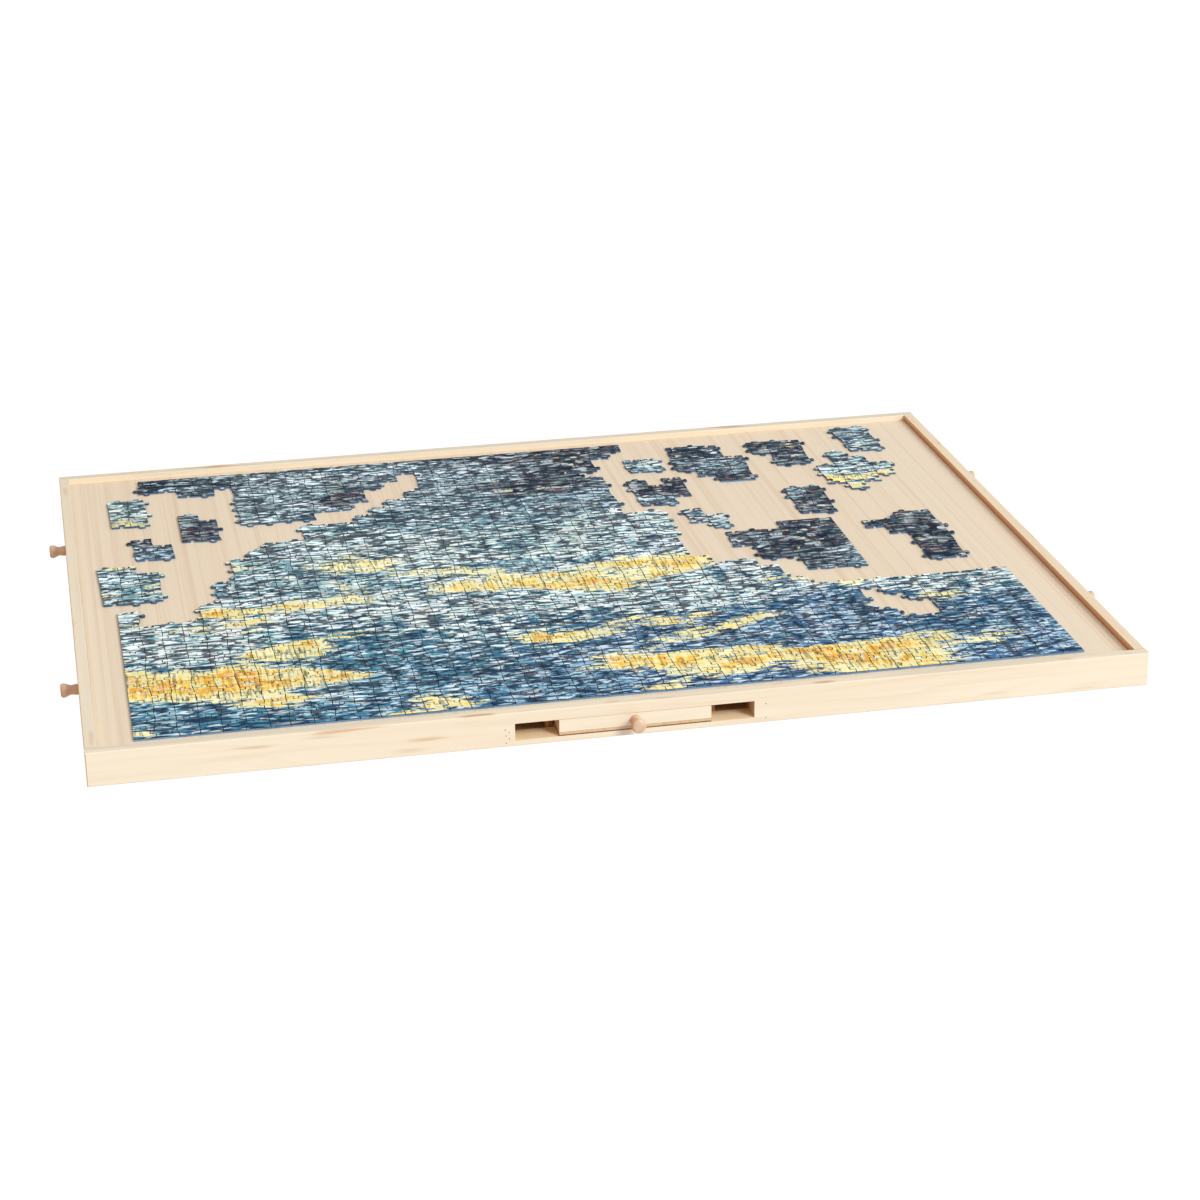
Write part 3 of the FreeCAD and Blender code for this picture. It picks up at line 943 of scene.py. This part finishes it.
def rolled_edge_finish():
    """The print where it is rolled down at a cut: pale wear above that is also a painted highlight, and
    painted shade in the joint below.
    """
    finish = Finish("rolled_edge", Roughness=0.4, IOR=board_ior)
    point = finish.place()
    height = finish.split(point)[2]
    upper = ((height - (jigsaw_high.z - edge_round)) / edge_round).ease(0.5, 1.0)
    joint_shade_lift = finish.noise(point, (110.0, 110.0, 0.0), detail=1.0).ease(0.42, 0.6)
    wear_and_highlight = finish.noise(point, (170.0, 170.0, 0.0), (0.0, 0.0, 3.0), detail=1.0).ease(0.5, 0.6)
    # Painted shade: the print darkened almost to black low in the joint, less higher up and where noise
    # lifts it
    colour = finish.dimmed(Picture(finish).colour(), 0.02 + upper * (0.08 + joint_shade_lift * 0.36))
    # Pale wear on the upper edge, also a painted highlight
    finish.shade(Base_Color=finish.mix(wear_and_highlight * upper * 0.55, colour, wear_and_highlight_tone))
    return finish.material


def board_finish(name, pale, deep, dark_share):
    """The sides of the pieces: blue-grey pressed board with faint layers and dark patches."""
    finish = Finish(name, IOR=board_ior)
    point = finish.place()
    layers = finish.noise(point, (60.0, 60.0, 5200.0))
    patches = finish.noise(point, (45.0, 45.0, 0.0), detail=1.0).ease(0.45, 0.65)
    colour = finish.mix(layers, deep, pale)
    finish.shade(
        Base_Color=finish.mix(patches * dark_share, colour, dark_patch_tone),
        Roughness=0.7 + layers * 0.15,
        Normal=finish.bump(layers, 0.05 * mm, 0.5),
    )
    return finish.material


# Floor, room, lamp and camera

# How far the floor lies under the board, and the radius of the backdrop
floor_drop = 0.2 * mm
backdrop_radius = 40.0

# The room: its brightness, its light, the warm shade on its left side, the direction that is
# brightest, and how far a direction points that way where full shade ends and full light starts
room_strength = 1.05
room_light = tone(222, 237, 255)
room_shade = tone(206, 168, 132)
room_bright_way = (1.0, -0.3, 0.36)
room_shade_end = -0.6
room_light_start = 0.15

# The lamp: its power in watts, colour, place and width
lamp_energy = 1390.0
lamp_tone = (0.765, 0.869, 1.0)
lamp_place = Vector((6.4, -8.6, 6.6))
lamp_size = 5.0

# The photograph's view: where the camera stands, how it is turned, and its lens and film in
# millimetres
camera_place = (-0.4542, -2.4451, 0.9872)
camera_yaw = math.radians(11.42)
camera_pitch = math.radians(21.92)
camera_roll = math.radians(-0.701)
camera_lens = 85.49
film_width = 36.0


def make_floor():
    """A plain white floor and backdrop, too bright to show shadows, that lend the board no light."""
    bm = bmesh.new()
    bmesh.ops.create_grid(bm, x_segments=1, y_segments=1, size=backdrop_radius)
    bmesh.ops.translate(bm, verts=bm.verts[:], vec=(0, 0, -floor_drop))
    bmesh.ops.create_icosphere(bm, subdivisions=4, radius=backdrop_radius)
    finish = Finish("floor_white", Roughness=1.0)
    finish.shade(Base_Color=grey(0.0), Emission_Color=grey(1.0), Emission_Strength=1.0)
    floor = finished(bm, "floor", [finish.material])
    floor.visible_diffuse = False
    floor.visible_glossy = False
    floor.visible_shadow = False


def make_room():
    """A soft white room whose left side is in warm shade."""
    world = bpy.data.worlds.new("soft_room")
    world.use_nodes = True
    room = Nodes(world.node_tree)
    direction = room.node("ShaderNodeTexCoord").outputs["Generated"]
    lean = room.node(
        "ShaderNodeVectorMath", {"operation": "DOT_PRODUCT"}, {0: direction, 1: room_bright_way})
    brightness = Value(room, lean.outputs["Value"]).ease(room_shade_end, room_light_start)
    background = world.node_tree.nodes["Background"]
    room.feed(background, "Color", room.mix(brightness, room_shade, room_light))
    room.feed(background, "Strength", room_strength)
    bpy.context.scene.world = world


def make_lamp():
    """One broad soft lamp at the front right."""
    lamp = bpy.data.lights.new("soft_lamp", "AREA")
    lamp.shape = "DISK"
    lamp.size = lamp_size
    lamp.energy = lamp_energy
    lamp.color = lamp_tone
    aim = (-lamp_place).to_track_quat("-Z", "Y").to_matrix().to_4x4()
    holder = bpy.data.objects.new("soft_lamp", lamp)
    holder.matrix_world = Matrix.Translation(lamp_place) @ aim
    bpy.context.scene.collection.objects.link(holder)


def make_camera():
    """The photograph's view."""
    level_part = math.cos(camera_pitch)
    forward = Vector((
        math.sin(camera_yaw) * level_part, math.cos(camera_yaw) * level_part, -math.sin(camera_pitch)))
    level = Vector((math.cos(camera_yaw), -math.sin(camera_yaw), 0))
    upward = level.cross(forward)
    right = level * math.cos(camera_roll) + upward * math.sin(camera_roll)
    top = upward * math.cos(camera_roll) - level * math.sin(camera_roll)
    camera = bpy.data.cameras.new("photo_view")
    camera.lens = camera_lens
    camera.sensor_width = film_width
    holder = bpy.data.objects.new("photo_view", camera)
    turn = Matrix((right, top, -forward)).transposed().to_4x4()
    holder.matrix_world = Matrix.Translation(camera_place) @ turn
    bpy.context.scene.collection.objects.link(holder)
    bpy.context.scene.camera = holder


bpy.context.scene.view_settings.view_transform = "Standard"
runner_pine = both_ways(timber, "runner_pine", **runner_tones, ring=2.6 * mm, line_share=0.55)
dress_frame(runner_pine)
dress_drawers(runner_pine)
beech = both_ways(turned_beech, "turned_beech", **beech_tones)
for place, way in drawer_ways.items():
    turned_knob(place, way, beech[way])
slot_brads(brad_finish())
make_jigsaw([
    printed_finish(),
    rolled_edge_finish(),
    board_finish("cut_edge", tone(100, 134, 162), tone(44, 66, 96), 0.45),
    board_finish("border_edge", tone(124, 158, 182), tone(84, 118, 146), 0.4),
])
make_floor()
make_room()
make_lamp()
make_camera()
